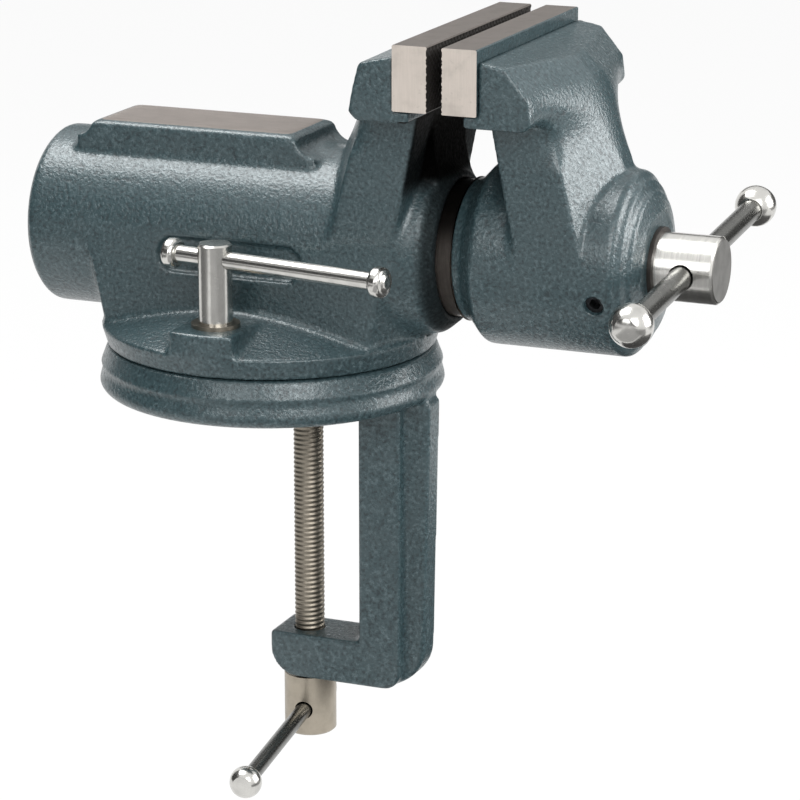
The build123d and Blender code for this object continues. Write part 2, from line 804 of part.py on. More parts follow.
for end, side in (("near", -1), ("far", 1)):
    lock_y = side * lock_radius
    post_bottom = lug_top + lock_washer_thickness
    cross_plane = lock_bar_plane(side)

    with BuildPart() as lock_washer:
        extrude(disc_z(0, lock_y, lug_top, lock_washer_radius), amount=lock_washer_thickness)
        extrude(
            disc_z(0, lock_y, lug_top, lock_shank_radius + screw_clearance),
            amount=lock_washer_thickness,
            mode=Mode.SUBTRACT,
        )
    save(lock_washer, f"lock_washer_{end}")

    with BuildPart() as lock_bolt:
        extrude(disc_z(0, lock_y, post_bottom, lock_post_radius), amount=lock_post_top - post_bottom)
        chamfer(lock_bolt.faces().sort_by(Axis.Z)[-1].edges(), lock_post_chamfer)
        extrude(disc_z(0, lock_y, lock_shank_end, lock_shank_radius), amount=post_bottom - lock_shank_end)
        extrude(
            disc_on(cross_plane, lock_bar_radius + running_clearance),
            amount=2 * lock_post_radius,
            both=True,
            mode=Mode.SUBTRACT,
        )
    save(lock_bolt, f"lock_bolt_{end}")

    with BuildPart() as lock_bar:
        bar_end = disc_on(cross_plane.offset(-lock_bar_short), lock_bar_radius)
        extrude(bar_end, amount=lock_bar_short + lock_bar_long)
    save(lock_bar, f"lock_bar_{end}")

    for tip, offset_along, flip in (("short", -lock_bar_short, -1), ("long", lock_bar_long, 1)):
        knob_plane = cross_plane.offset(offset_along - flip * lock_knob_length / 2)
        with BuildPart() as lock_knob:
            extrude(disc_on(knob_plane, lock_knob_radius), amount=flip * lock_knob_length)
            fillet(lock_knob.edges().filter_by(GeomType.CIRCLE), lock_knob_round)
            extrude(
                disc_on(knob_plane, lock_bar_radius), amount=flip * lock_knob_length / 2, mode=Mode.SUBTRACT
            )
        save(lock_knob, f"lock_bar_{tip}_knob_{end}")

    with BuildPart() as tee_nut:
        nut_bottom = slot_floor + tee_nut_lift
        with BuildSketch(Plane.XY.offset(nut_bottom)) as nut_plan:
            with Locations((0, lock_y)):
                Rectangle(tee_nut_length, tee_nut_width)
        extrude(amount=tee_nut_height)
        with BuildSketch(Plane.XY.offset(nut_bottom + tee_nut_height)) as neck_plan:
            with Locations((0, lock_y)):
                Rectangle(tee_neck_width, tee_neck_width)
        extrude(amount=tee_neck_height)
        extrude(
            disc_z(0, lock_y, nut_bottom, lock_shank_radius + thread_gap),
            amount=tee_nut_height + tee_neck_height,
            mode=Mode.SUBTRACT,
        )
    save(tee_nut, f"lock_tee_nut_{end}")


# Bench clamp: pad, retaining ring, screw and its sliding bar
pad_bottom = pad_top - pad_thickness
tip_top = pad_top - pad_roof - rest_clearance
ring_inner_radius = clamp_tip_radius - pad_ring_depth + running_clearance
tip_bore_radius = clamp_tip_radius + running_clearance

with BuildPart() as clamp_pad:
    extrude(disc_z(clamp_x, 0, pad_bottom, pad_radius), amount=pad_thickness)
    chamfer(clamp_pad.edges().filter_by(GeomType.CIRCLE), turned_chamfer)
    tip_bore = disc_z(clamp_x, 0, pad_bottom, tip_bore_radius)
    extrude(tip_bore, amount=pad_thickness - pad_roof, mode=Mode.SUBTRACT)
save(clamp_pad, "clamp_pad")

with BuildPart() as pad_retaining_ring:
    ring_bottom = pad_ring_height - pad_ring_thickness / 2
    extrude(disc_z(clamp_x, 0, ring_bottom, tip_bore_radius), amount=pad_ring_thickness)
    ring_hole = disc_z(clamp_x, 0, ring_bottom, ring_inner_radius)
    extrude(ring_hole, amount=pad_ring_thickness, mode=Mode.SUBTRACT)
save(pad_retaining_ring, "pad_retaining_ring")

clamp_bar_way = (sin(radians(clamp_bar_yaw)), -cos(radians(clamp_bar_yaw)), 0)
clamp_bar_plane = Plane((clamp_x, 0, clamp_bar_height), x_dir=(0, 0, 1), z_dir=clamp_bar_way)
clamp_bar_far = clamp_head_radius + clamp_ball_radius + rest_clearance

with BuildPart() as clamp_screw:
    groove_half = pad_ring_thickness / 2 + rest_clearance / 2
    revolve(
        turned_z(
            [
                (0, clamp_head_bottom),
                (clamp_head_radius - turned_chamfer, clamp_head_bottom),
                (clamp_head_radius, clamp_head_bottom + turned_chamfer),
                (clamp_head_radius, clamp_head_top),
                (clamp_radius, clamp_head_top),
                (clamp_radius, pad_bottom - rest_clearance),
                (clamp_tip_radius, pad_bottom - rest_clearance),
                (clamp_tip_radius, pad_ring_height - groove_half),
                (clamp_tip_radius - pad_ring_depth, pad_ring_height - groove_half),
                (clamp_tip_radius - pad_ring_depth, pad_ring_height + groove_half),
                (clamp_tip_radius, pad_ring_height + groove_half),
                (clamp_tip_radius, tip_top),
                (0, tip_top),
            ],
            clamp_x,
        ),
        axis=clamp_axis,
    )
    extrude(
        disc_on(clamp_bar_plane, clamp_bar_radius + bar_hole_gap),
        amount=2 * clamp_head_radius,
        both=True,
        mode=Mode.SUBTRACT,
    )
save(clamp_screw, "clamp_screw")

with BuildPart() as clamp_bar:
    clamp_bar_end = disc_on(clamp_bar_plane.offset(-clamp_bar_far), clamp_bar_radius)
    extrude(clamp_bar_end, amount=clamp_bar_far + clamp_bar_near)
save(clamp_bar, "clamp_bar")

for end, offset_along, flip in (("near", clamp_bar_near, 1), ("far", -clamp_bar_far, -1)):
    end_plane = Plane(
        clamp_bar_plane.offset(offset_along).origin, x_dir=(0, 0, 1), z_dir=Vector(clamp_bar_way) * flip
    )
    with BuildPart() as clamp_bar_ball:
        add(bar_ball(end_plane, clamp_ball_radius, clamp_bar_radius))
    save(clamp_bar_ball, f"clamp_bar_ball_{end}")
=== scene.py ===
import math

import bmesh
import bpy
import numpy as np
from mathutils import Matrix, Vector


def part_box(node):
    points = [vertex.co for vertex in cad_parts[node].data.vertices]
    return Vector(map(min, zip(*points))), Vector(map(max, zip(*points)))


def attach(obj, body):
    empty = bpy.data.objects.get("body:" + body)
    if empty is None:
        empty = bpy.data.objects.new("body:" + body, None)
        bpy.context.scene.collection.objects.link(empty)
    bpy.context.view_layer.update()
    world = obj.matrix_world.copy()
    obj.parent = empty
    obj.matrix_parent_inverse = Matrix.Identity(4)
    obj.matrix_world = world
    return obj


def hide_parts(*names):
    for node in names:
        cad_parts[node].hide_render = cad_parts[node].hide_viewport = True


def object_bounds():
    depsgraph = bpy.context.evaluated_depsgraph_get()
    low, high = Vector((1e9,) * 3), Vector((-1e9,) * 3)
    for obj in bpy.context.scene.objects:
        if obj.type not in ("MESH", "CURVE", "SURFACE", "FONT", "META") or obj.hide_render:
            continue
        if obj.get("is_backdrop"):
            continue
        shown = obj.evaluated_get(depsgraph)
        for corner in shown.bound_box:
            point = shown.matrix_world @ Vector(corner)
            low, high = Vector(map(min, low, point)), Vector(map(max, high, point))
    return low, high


bl_info = {
    "name": "Clamp-on bench vise",
    "version": (1, 0, 0),
    "blender": (4, 5, 0),
    "location": "3D View > Sidebar > Vise",
    "description": "Dresses a packed bench vise: cast skins, ground jaws, cut threads and bright bars",
    "category": "Object",
}

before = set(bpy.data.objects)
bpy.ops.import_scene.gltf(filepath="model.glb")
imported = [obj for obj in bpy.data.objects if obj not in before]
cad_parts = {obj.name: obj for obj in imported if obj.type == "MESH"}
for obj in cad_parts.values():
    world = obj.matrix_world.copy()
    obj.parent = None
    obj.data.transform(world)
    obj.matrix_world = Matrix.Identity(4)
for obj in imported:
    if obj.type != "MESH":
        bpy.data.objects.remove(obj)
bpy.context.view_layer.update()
MM = 0.001


# Places that the frame gives

def middle(node, axis):
    """Middle of a node's box along an axis."""
    return sum(getattr(corner, axis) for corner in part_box(node)) / 2


SPINDLE_HEIGHT = middle("spindle", "z")
CLAMP_X = middle("clamp_pad", "x")
KEEPER_X = middle("keeper_screw", "x")
JAW_MIDDLE = (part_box("fixed_jaw_plate")[1].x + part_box("moving_jaw_plate")[0].x) / 2

# Places on the body's anvil and in the throat behind the jaws, where shade is painted; a pair is where a
# mask starts and is full

ANVIL_TOP = 96.4 * MM
ANVIL_FRONT = 20.0 * MM
GRIND_DEPTH = 0.3 * MM
LEG_LEAN = 0.198
LEG_INSIDE = (46.8 * MM, 48.4 * MM)
LEG_FOOT = (78 * MM, 86 * MM)
LEG_TOP = 110.5 * MM
MOUTH_FRONT = (66.5 * MM, 71 * MM)
MOUTH_TOP = 86 * MM
WEB_RISE = (99 * MM, 108 * MM)

# The ram's painted shade on its top near the neck, by its height over the spindle and its place along it

RAM_SHADE_RISE = (2 * MM, 14 * MM)
RAM_SHADE_FRONT = (58 * MM, 68 * MM)

# Where a jaw's head melts into its leg: height, reach and width, each with the length over which it fades

HEAD_FOOT = 109 * MM
HEAD_REACH = 9 * MM
HEAD_PLATEAU = 1.6
HEAD_HALF_WIDTH = 47 * MM
HEAD_SIDE_FADE = 7 * MM
HEAD_START = 30 * MM
HEAD_START_FADE = 3 * MM

# Meshing

WELD = 0.002 * MM
CUT_WELD = 0.0005 * MM
CREASE = math.radians(32)
BROKEN_EDGE_ANGLE = math.radians(35)
BROKEN_EDGE_SEGMENTS = 2
FLAT_COSINE = 0.999
FLAT_STEP = 0.05 * MM
CROWN_RINGS = (0.85, 0.65, 0.45, 0.22)
TURNED_SLACK = 0.2
RELAX = 0.5
SETTLE_PASSES = 4
HOLLOW_START = 0.02
HOLLOW_SPAN = 0.06
SPREAD_PASSES = 3
SPREAD_GAIN = 1.8


# Sizes and colours that a user would change

class CastingLook(bpy.types.PropertyGroup):
    """Cast iron under hammered enamel."""

    enamel: bpy.props.FloatVectorProperty(
        name="Enamel", description="Colour of the hammered enamel", subtype="COLOR", size=3,
        min=0, max=1, default=(0.027, 0.052, 0.059))
    enamel_light: bpy.props.FloatVectorProperty(
        name="Enamel highlights", description="Colour on the tops of the hammered dimples", subtype="COLOR",
        size=3, min=0, max=1, default=(0.076, 0.112, 0.122))
    enamel_dark: bpy.props.FloatVectorProperty(
        name="Enamel lows", description="Colour in the hollows between the dimples", subtype="COLOR",
        size=3, min=0, max=1, default=(0.007, 0.017, 0.021))
    grain: bpy.props.FloatProperty(
        name="Grain", description="Spacing of the hammered dimples", unit="LENGTH", default=1.25 * MM)
    grain_depth: bpy.props.FloatProperty(
        name="Grain depth", description="Depth of the hammered dimples", unit="LENGTH", default=0.30 * MM)
    voxel: bpy.props.FloatProperty(
        name="Skin grid", description="Size of the faces of a cast skin", unit="LENGTH", default=0.8 * MM)
    edge_passes: bpy.props.IntProperty(
        name="Edge rounding", description="Smoothing passes that round a casting's edges", default=4)
    melt_passes: bpy.props.IntProperty(
        name="Melting", description="Smoothing passes where a jaw's head flows into its leg", default=240)
    fillet_passes: bpy.props.IntProperty(
        name="Corner fillets", description="Smoothing passes that fill a casting's inside corners",
        default=14)


class SteelLook(bpy.types.PropertyGroup):
    """Ground, brushed and plated steel."""

    ground: bpy.props.FloatVectorProperty(
        name="Ground steel", description="Colour of the ground anvil and jaw tops", subtype="COLOR", size=3,
        min=0, max=1, default=(0.245, 0.216, 0.195))
    brushed: bpy.props.FloatVectorProperty(
        name="Brushed steel", description="Colour of the jaw plates' ends", subtype="COLOR", size=3,
        min=0, max=1, default=(0.452, 0.404, 0.361))
    bright: bpy.props.FloatVectorProperty(
        name="Bright plating", description="Colour of the bars, balls and posts", subtype="COLOR", size=3,
        min=0, max=1, default=(0.66, 0.65, 0.62))
    drawn: bpy.props.FloatVectorProperty(
        name="Drawn steel", description="Colour of the spindle bar and the clamp bar", subtype="COLOR",
        size=3, min=0, max=1, default=(0.17, 0.17, 0.16))
    warm: bpy.props.FloatVectorProperty(
        name="Clamp screw", description="Colour of the clamp screw's zinc", subtype="COLOR", size=3,
        min=0, max=1, default=(0.30, 0.268, 0.22))
    oxide: bpy.props.FloatVectorProperty(
        name="Black oxide", description="Colour of the set screws", subtype="COLOR", size=3,
        min=0, max=1, default=(0.018, 0.019, 0.021))


class CutSizes(bpy.types.PropertyGroup):
    """Threads, knurling and small edges that the solids leave out."""

    clamp_pitch: bpy.props.FloatProperty(
        name="Clamp screw pitch", description="Pitch of the clamp screw's thread", unit="LENGTH",
        default=1.75 * MM)
    thread_depth: bpy.props.FloatProperty(
        name="Thread depth", description="Depth of the clamp screw's thread", unit="LENGTH",
        default=0.32 * MM)
    knurl_pitch: bpy.props.FloatProperty(
        name="Knurl pitch", description="Spacing of the jaw plates' knurling", unit="LENGTH",
        default=2.0 * MM)
    knurl_depth: bpy.props.FloatProperty(
        name="Knurl depth", description="Depth of the jaw plates' knurling", unit="LENGTH", default=0.4 * MM)
    edge: bpy.props.FloatProperty(
        name="Broken edge", description="Width of the broken edges on turned pieces", unit="LENGTH",
        default=0.35 * MM)


class StudioLook(bpy.types.PropertyGroup):
    """Camera and light."""

    azimuth: bpy.props.FloatProperty(
        name="Azimuth", description="Camera's turn round the vise", subtype="ANGLE",
        default=math.radians(22.43))
    elevation: bpy.props.FloatProperty(
        name="Elevation", description="Camera's height above the horizon", subtype="ANGLE",
        default=math.radians(15.71))
    distance: bpy.props.FloatProperty(
        name="Distance", description="Camera's distance from its target", unit="LENGTH", default=1177.0 * MM)
    target: bpy.props.FloatVectorProperty(
        name="Target", description="Point that the camera looks at", subtype="TRANSLATION", size=3,
        default=(49.97 * MM, 0.0, -0.67 * MM))
    lens: bpy.props.FloatProperty(
        name="Lens", description="Focal length on a 36 mm sensor", unit="CAMERA", default=147.89)
    fill: bpy.props.FloatProperty(
        name="Room light", description="Strength of the light from all round", default=0.38)
    key_power: bpy.props.FloatProperty(
        name="Key light", description="Power of the large light in front at the right", subtype="POWER",
        default=15.0)
    top_power: bpy.props.FloatProperty(
        name="Top light", description="Power of the light overhead", subtype="POWER", default=22.0)
    rim_power: bpy.props.FloatProperty(
        name="Rim light", description="Power of the light behind at the right", subtype="POWER",
        default=21.0)
    front_power: bpy.props.FloatProperty(
        name="Front light", description="Power of the low light in front", subtype="POWER", default=2.7)


# Shader expressions; a Mix node has its colours at these places among its sockets

MIX_FACTOR = 0
MIX_FIRST = 6
MIX_SECOND = 7
MIX_RESULT = 2


class Wire:
    """An output socket of a node tree; arithmetic on it adds Math nodes."""

    def __init__(self, tree, socket):
        self.tree = tree
        self.socket = socket

    def __add__(self, other):
        return self.tree.maths("ADD", self, other)

    def __radd__(self, other):
        return self.tree.maths("ADD", other, self)

    def __sub__(self, other):
        return self.tree.maths("SUBTRACT", self, other)

    def __rsub__(self, other):
        return self.tree.maths("SUBTRACT", other, self)

    def __mul__(self, other):
        return self.tree.maths("MULTIPLY", self, other)

    def __rmul__(self, other):
        return self.tree.maths("MULTIPLY", other, self)

    def __gt__(self, other):
        return self.tree.maths("GREATER_THAN", self, other)

    def __lt__(self, other):
        return self.tree.maths("LESS_THAN", self, other)

    def ramp(self, low, high):
        """0 at low, 1 at high, smooth between."""
        sockets = {"Value": self, "From Min": low, "From Max": high}
        return self.tree.node("ShaderNodeMapRange", {"interpolation_type": "SMOOTHSTEP"}, sockets)


class Tree:
    """A node tree that grows by one method."""

    def __init__(self, tree):
        self.nodes = tree.nodes
        self.links = tree.links

    def node(self, kind, settings=None, sockets=None, output=0):
        """Add a node, set it up, fill its sockets and hand back one of its outputs."""
        made = self.nodes.new(kind)
        for key, value in (settings or {}).items():
            setattr(made, key, value)
        for key, value in (sockets or {}).items():
            self.join(made.inputs[key], value)
        return Wire(self, made.outputs[output])

    def join(self, socket, value):
        """Link a wire to a socket, or set a plain value on it."""
        if isinstance(value, Wire):
            self.links.new(value.socket, socket)
        else:
            socket.default_value = value

    def maths(self, operation, *values):
        return self.node("ShaderNodeMath", {"operation": operation}, dict(enumerate(values)))


class Finish(Tree):
    """A procedural material round one Principled shader."""

    def __init__(self, name, **constants):
        self.material = bpy.data.materials.new(name)
        self.material.use_nodes = True
        super().__init__(self.material.node_tree)
        self.shader = self.nodes["Principled BSDF"]
        self.place = self.node("ShaderNodeTexCoord", output="Object")
        self.feed(**constants)

    def feed(self, **sockets):
        """Values or wires for the Principled shader, with _ for a space in a socket's name."""
        for key, value in sockets.items():
            self.join(self.shader.inputs[key.replace("_", " ")], value)

    def stretched(self, x=1.0, y=1.0, z=1.0):
        """Places scaled along each axis, so that a texture runs along the axis with the least."""
        return self.node("ShaderNodeMapping", {}, {"Vector": self.place, "Scale": (x, y, z)})

    def noise(self, size, detail=1.0, rough=0.5, where=None):
        sockets = {"Vector": where or self.place, "Scale": 1.0 / size, "Detail": detail, "Roughness": rough}
        return self.node("ShaderNodeTexNoise", {}, sockets)

    def blend(self, factor, first, second):
        """From one colour to another as the factor goes from 0 to 1."""
        sockets = {MIX_FACTOR: factor, MIX_FIRST: first, MIX_SECOND: second}
        return self.node("ShaderNodeMix", {"data_type": "RGBA"}, sockets, MIX_RESULT)

    def bump(self, height, depth, strength=1.0):
        sockets = {"Height": height, "Distance": depth, "Strength": strength}
        self.feed(Normal=self.node("ShaderNodeBump", {}, sockets))

    def axis(self, index):
        return self.node("ShaderNodeSeparateXYZ", {}, {0: self.place}, index)

    def spindle_radius(self):
        """Distance from the spindle's axis."""
        across = self.node(
            "ShaderNodeVectorMath", {"operation": "MULTIPLY"}, {0: self.place, 1: (0.0, 1.0, 1.0)})
        sockets = {0: across, 1: (0.0, 0.0, SPINDLE_HEIGHT)}
        return self.node("ShaderNodeVectorMath", {"operation": "DISTANCE"}, sockets, "Value")


def shade(colour, share):
    return tuple(channel * share for channel in colour)


def rgba(colour, share=1.0):
    return (*shade(colour, share), 1.0)


def finish_of(name, maker, *values, **named):
    """The material of that name, made on first use."""
    return bpy.data.materials.get(name) or maker(name, *values, **named)


# Finishes

ENAMEL_GLOSS = {"Specular_IOR_Level": 0.62, "Coat_Roughness": 0.2}
ENAMEL_METAL = 0.1
ENAMEL_COAT = 0.2


def hammered(finish):
    """Paint, roughness and relief of hammered enamel, and the mottle of the iron below it."""
    look = bpy.context.scene.vise_casting
    dimples = finish.noise(look.grain)
    grit = finish.noise(0.4 * look.grain)
    mottle = finish.noise(16 * MM, detail=3.0, rough=0.6)
    relief = dimples * 0.75 + grit * 0.25
    tops = relief.ramp(0.515, 0.68)
    lows = relief.ramp(0.485, 0.33)
    paint = finish.blend(tops * 0.7, rgba(look.enamel), rgba(look.enamel_light))
    paint = finish.blend(lows * 0.75, paint, rgba(look.enamel_dark))
    paint = finish.blend(mottle.ramp(0.4, 0.7) * 0.3, paint, rgba(look.enamel_light, 0.6))
    rough = 0.34 - 0.08 * tops + 0.12 * lows
    return paint, rough, relief, mottle


def enamel_finish(name):
    """Hammered enamel: fine dimples over cast iron."""
    finish = Finish(name, Metallic=ENAMEL_METAL, Coat_Weight=ENAMEL_COAT, **ENAMEL_GLOSS)
    paint, rough, relief, _ = hammered(finish)
    finish.feed(Base_Color=paint, Roughness=rough)
    finish.bump(relief, bpy.context.scene.vise_casting.grain_depth)
    return finish.material


def body_finish(name):
    """Hammered enamel, with a bare ground anvil and painted shade in the throat behind the jaws."""
    look = bpy.context.scene.vise_casting
    steel = bpy.context.scene.vise_steel.ground
    finish = Finish(name, **ENAMEL_GLOSS)
    paint, rough, relief, mottle = hammered(finish)
    along = finish.axis(0)
    height = finish.axis(2)
    bare = (height > ANVIL_TOP - GRIND_DEPTH) * (along < ANVIL_FRONT)
    lines = finish.noise(0.5 * MM, detail=3.0, rough=0.65, where=finish.stretched(x=0.05))
    cloud = finish.noise(9 * MM, detail=4.0, rough=0.6)
    face = finish.blend(lines.ramp(0.3, 0.7), rgba(steel, 0.79), rgba(steel, 1.03))
    face = finish.blend(cloud.ramp(0.4, 0.75) * 0.5, face, rgba(steel, 0.74))
    # Painted shade in the throat behind the jaws: the fixed leg's inside and the barrel's mouth are darkened
    # and dulled as if in shadow; scale is the mask of this painted shade.
    leg = (along - LEG_LEAN * height).ramp(*LEG_INSIDE) * height.ramp(*LEG_FOOT) * (height < LEG_TOP)
    mouth = 0.7 * along.ramp(*MOUTH_FRONT) * (height < MOUTH_TOP)
    scale = finish.maths("MAXIMUM", leg, mouth)
    # Colour of the throat's painted shade, lighter and browner towards the top of the web.
    throat_shade = finish.blend(mottle, rgba(look.enamel_dark, 0.12), rgba(steel, 0.03))
    throat_shade = finish.blend(height.ramp(*WEB_RISE) * 0.8, throat_shade, rgba(steel, 0.16))
    finish.feed(
        Base_Color=finish.blend(bare, finish.blend(scale, paint, throat_shade), face),
        Roughness=rough * (1 - bare) + bare * (0.5 + 0.12 * lines) + 0.55 * scale,
        Metallic=ENAMEL_METAL + bare * 0.65 + scale * 0.9,
        Coat_Weight=ENAMEL_COAT - ENAMEL_COAT * scale)
    finish.bump(relief * (1 - bare) + bare * lines * 0.12, look.grain_depth)
    return finish.material


def ground_finish(name, colour, lay, shine, rough, line=0.11, grime=0.45):
    """Ground or brushed steel with its lay along one axis, clouded by handling."""
    finish = Finish(name)
    lines = finish.noise(0.45 * MM, detail=3.0, rough=0.65, where=finish.stretched(**{lay: 0.04}))
    cloud = finish.noise(8 * MM, detail=4.0, rough=0.6)
    specks = finish.noise(1.6 * MM, detail=2.0).ramp(0.66, 0.78)
    face = finish.blend(lines.ramp(0.3, 0.7), rgba(colour, 1 - line), rgba(colour, 1 + line))
    face = finish.blend(cloud.ramp(0.45, 0.75) * grime, face, rgba(colour, 0.7))
    face = finish.blend(specks * 0.35, face, rgba(colour, 0.5))
    finish.feed(
        Base_Color=face, Metallic=shine - 0.2 * specks, Roughness=rough + 0.12 * lines + 0.1 * cloud)
    finish.bump(lines, 0.03 * MM, strength=0.5)
    return finish.material


def ram_finish(name, colour):
    """Turned ram, with painted shade on its top near its neck."""
    finish = Finish(name, Metallic=0.9)
    lines = finish.noise(0.4 * MM, detail=3.0, rough=0.6, where=finish.stretched(y=0.03, z=0.03))
    cloud = finish.noise(7 * MM, detail=4.0, rough=0.6)
    # Painted shade: the mask oil darkens the ram's top near its neck, where it lies in shadow.
    oil = (finish.axis(2) - SPINDLE_HEIGHT).ramp(*RAM_SHADE_RISE) * finish.axis(0).ramp(*RAM_SHADE_FRONT)
    face = finish.blend(lines.ramp(0.3, 0.7), rgba(colour, 1.4), rgba(colour, 1.8))
    face = finish.blend(cloud.ramp(0.4, 0.7) * 0.4, face, rgba(colour, 0.8))
    face = finish.blend(oil * 0.9, face, rgba(colour, 0.06))
    finish.feed(Base_Color=face, Roughness=0.22 + 0.12 * lines + 0.08 * cloud)
    finish.bump(lines, 0.03 * MM, strength=0.5)
    return finish.material


def plated_finish(name, colour, rough=0.16):
    """Bright plating with faint turning marks and small scuffs."""
    finish = Finish(name, Metallic=1.0)
    cloud = finish.noise(5 * MM, detail=4.0, rough=0.6)
    scuffs = finish.noise(0.7 * MM, detail=3.0, rough=0.7, where=finish.stretched(y=0.3))
    dull = scuffs.ramp(0.60, 0.78)
    face = finish.blend(cloud.ramp(0.35, 0.7), rgba(colour), rgba(colour, 0.86))
    face = finish.blend(dull * 0.3, face, rgba(colour, 0.55))
    finish.feed(Base_Color=face, Roughness=rough + 0.10 * cloud + 0.12 * dull)
    finish.bump(scuffs, 0.02 * MM, strength=0.35)
    return finish.material


def turned_finish(name, colour, end):
    """Bright turned steel with a dull, faced end beyond a distance along X."""
    ring_pitch = 0.9 * MM
    finish = Finish(name, Metallic=1.0)
    marks = finish.noise(0.35 * MM, detail=2.0, rough=0.6, where=finish.stretched(y=0.02, z=0.02))
    cloud = finish.noise(5 * MM, detail=4.0, rough=0.6)
    rings = finish.maths("SINE", finish.spindle_radius() * (math.tau / ring_pitch)) * 0.5 + 0.5
    faced = finish.axis(0) > end
    face = finish.blend(marks.ramp(0.3, 0.7), rgba(colour, 0.9), rgba(colour, 1.1))
    dull = finish.blend(cloud.ramp(0.35, 0.7), rgba(colour, 0.31), rgba(colour, 0.23))
    finish.feed(Base_Color=finish.blend(faced, face, dull), Roughness=0.18 + 0.1 * marks + faced * 0.25)
    finish.bump(marks * (1 - faced) + rings * faced * 0.6, 0.02 * MM, strength=0.5)
    return finish.material


def oxide_finish(name):
    """Black oxide on hardened screws, worn grey in patches."""
    colour = bpy.context.scene.vise_steel.oxide
    finish = Finish(name, Metallic=0.7)
    wear = finish.noise(1.4 * MM, detail=4.0, rough=0.65)
    face = finish.blend(wear.ramp(0.52, 0.75) * 0.6, rgba(colour), rgba(colour, 5.0))
    finish.feed(Base_Color=face, Roughness=0.34 + 0.2 * wear)
    finish.bump(wear, 0.03 * MM, strength=0.4)
    return finish.material


def iron_finish(name, colour):
    """Bare machined iron of the inside pieces, with a film of oil."""
    finish = Finish(name, Metallic=0.8, Coat_Roughness=0.3)
    film = finish.noise(6 * MM, detail=4.0, rough=0.6)
    lines = finish.noise(0.6 * MM, detail=2.0, rough=0.6, where=finish.stretched(x=0.2))
    face = finish.blend(film.ramp(0.35, 0.7), rgba(colour), rgba(colour, 0.6))
    finish.feed(Base_Color=face, Roughness=0.38 + 0.15 * lines, Coat_Weight=film * 0.3)
    finish.bump(lines, 0.03 * MM, strength=0.4)
    return finish.material


def hammered_enamel():
    return finish_of("hammered_enamel", enamel_finish)


def bright_nickel():
    return finish_of("bright_nickel", plated_finish, bpy.context.scene.vise_steel.bright)


def drawn_steel():
    return finish_of("drawn_steel", plated_finish, bpy.context.scene.vise_steel.drawn, rough=0.22)


# Meshes

def joined_copy(node):
    """A node's mesh with its split corners welded, as a bmesh."""
    mesh = bmesh.new()
    mesh.from_mesh(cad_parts[node].data)
    bmesh.ops.remove_doubles(mesh, verts=mesh.verts, dist=WELD)
    mesh.verts.index_update()
    return mesh


def cut(mesh, point, normal):
    """Keep the side of a bmesh that a plane's normal points to, and close the cut."""
    everything = list(mesh.verts) + list(mesh.edges) + list(mesh.faces)
    bmesh.ops.bisect_plane(
        mesh, geom=everything, plane_co=point, plane_no=normal, clear_inner=True, dist=CUT_WELD)
    rim = [edge for edge in mesh.edges if edge.is_boundary]
    bmesh.ops.triangle_fill(mesh, edges=rim, use_beauty=True)
    return mesh


def close_band(mesh, here, there):
    """Quads between two closed loops of points."""
    for index in range(len(here)):
        follow = (index + 1) % len(here)
        mesh.faces.new((here[index], here[follow], there[follow], there[index]))


def as_data(name, mesh):
    """A bmesh turned into a named mesh."""
    data = bpy.data.meshes.new(name)
    mesh.to_mesh(data)
    mesh.free()
    return data


def new_piece(name, mesh, body, slot, materials, *nodes):
    """Link a bmesh or mesh as a piece that rides on a body and stands for CAD nodes."""
    data = mesh
    if isinstance(mesh, bmesh.types.BMesh):
        bmesh.ops.recalc_face_normals(mesh, faces=mesh.faces)
        data = as_data(name, mesh)
    for material in materials:
        data.materials.append(material)
    piece = bpy.data.objects.new(name, data)
    bpy.context.scene.collection.objects.link(piece)
    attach(piece, body)
    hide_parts(*nodes)
    return piece


def all_smooth(mesh):
    mesh.polygons.foreach_set("use_smooth", np.ones(len(mesh.polygons), bool))


def smooth_shaded(mesh, angle=CREASE):
    """Smooth shading that breaks at creases."""
    all_smooth(mesh)
    mesh.set_sharp_from_angle(angle=angle)


def dressed(node, material, edge=None):
    """Give a CAD node its finish, smooth shading and, if asked, broken edges."""
    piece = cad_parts[node]
    piece.data.materials.clear()
    piece.data.materials.append(material)
    all_smooth(piece.data)
    weld = piece.modifiers.new("weld", "WELD")
    weld.merge_threshold = WELD
    if edge:
        break_edges(piece, edge)
    else:
        split = piece.modifiers.new("creases", "EDGE_SPLIT")
        split.split_angle = CREASE


def break_edges(piece, width):
    """Bevel a piece's sharp edges."""
    bevel = piece.modifiers.new("broken_edges", "BEVEL")
    bevel.width = width
    bevel.segments = BROKEN_EDGE_SEGMENTS
    bevel.limit_method = "ANGLE"
    bevel.angle_limit = BROKEN_EDGE_ANGLE
    bevel.harden_normals = True


def crowned(node, bar, height, dimple=0.0):
    """A node's mesh, as a bmesh, with the flat on the end away from its bar's middle raised to a crown."""
    low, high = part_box(node)
    bar_low, bar_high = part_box(bar)
    way = (low + high - bar_low - bar_high).normalized()
    mesh = joined_copy(node)
    flats = [face for face in mesh.faces if face.normal.dot(way) > FLAT_COSINE]
    level = max(face.calc_center_median().dot(way) for face in flats) - FLAT_STEP
    flats = [face for face in flats if face.calc_center_median().dot(way) > level]
    edges = {edge for face in flats for edge in face.edges}
    rim = {vert for edge in edges if not set(edge.link_faces) <= set(flats) for vert in edge.verts}
    rim = sorted(rim, key=lambda vert: vert.index)
    bmesh.ops.delete(mesh, geom=flats, context="FACES")
    centre = sum((vert.co for vert in rim), Vector()) / len(rim)
    first = (rim[0].co - centre).normalized()
    second = way.cross(first)

    def spoke(vert):
        out = vert.co - centre
        return math.atan2(out.dot(second), out.dot(first))

    rim.sort(key=spoke)
    ring = rim
    for share in CROWN_RINGS:
        lift = way * (height * (1 - share ** 2) - dimple * max(0.0, 1 - 2 * share))
        inner = [mesh.verts.new(centre + (vert.co - centre) * share + lift) for vert in rim]
        close_band(mesh, ring, inner)
        ring = inner
    mesh.faces.new(ring)
    return mesh


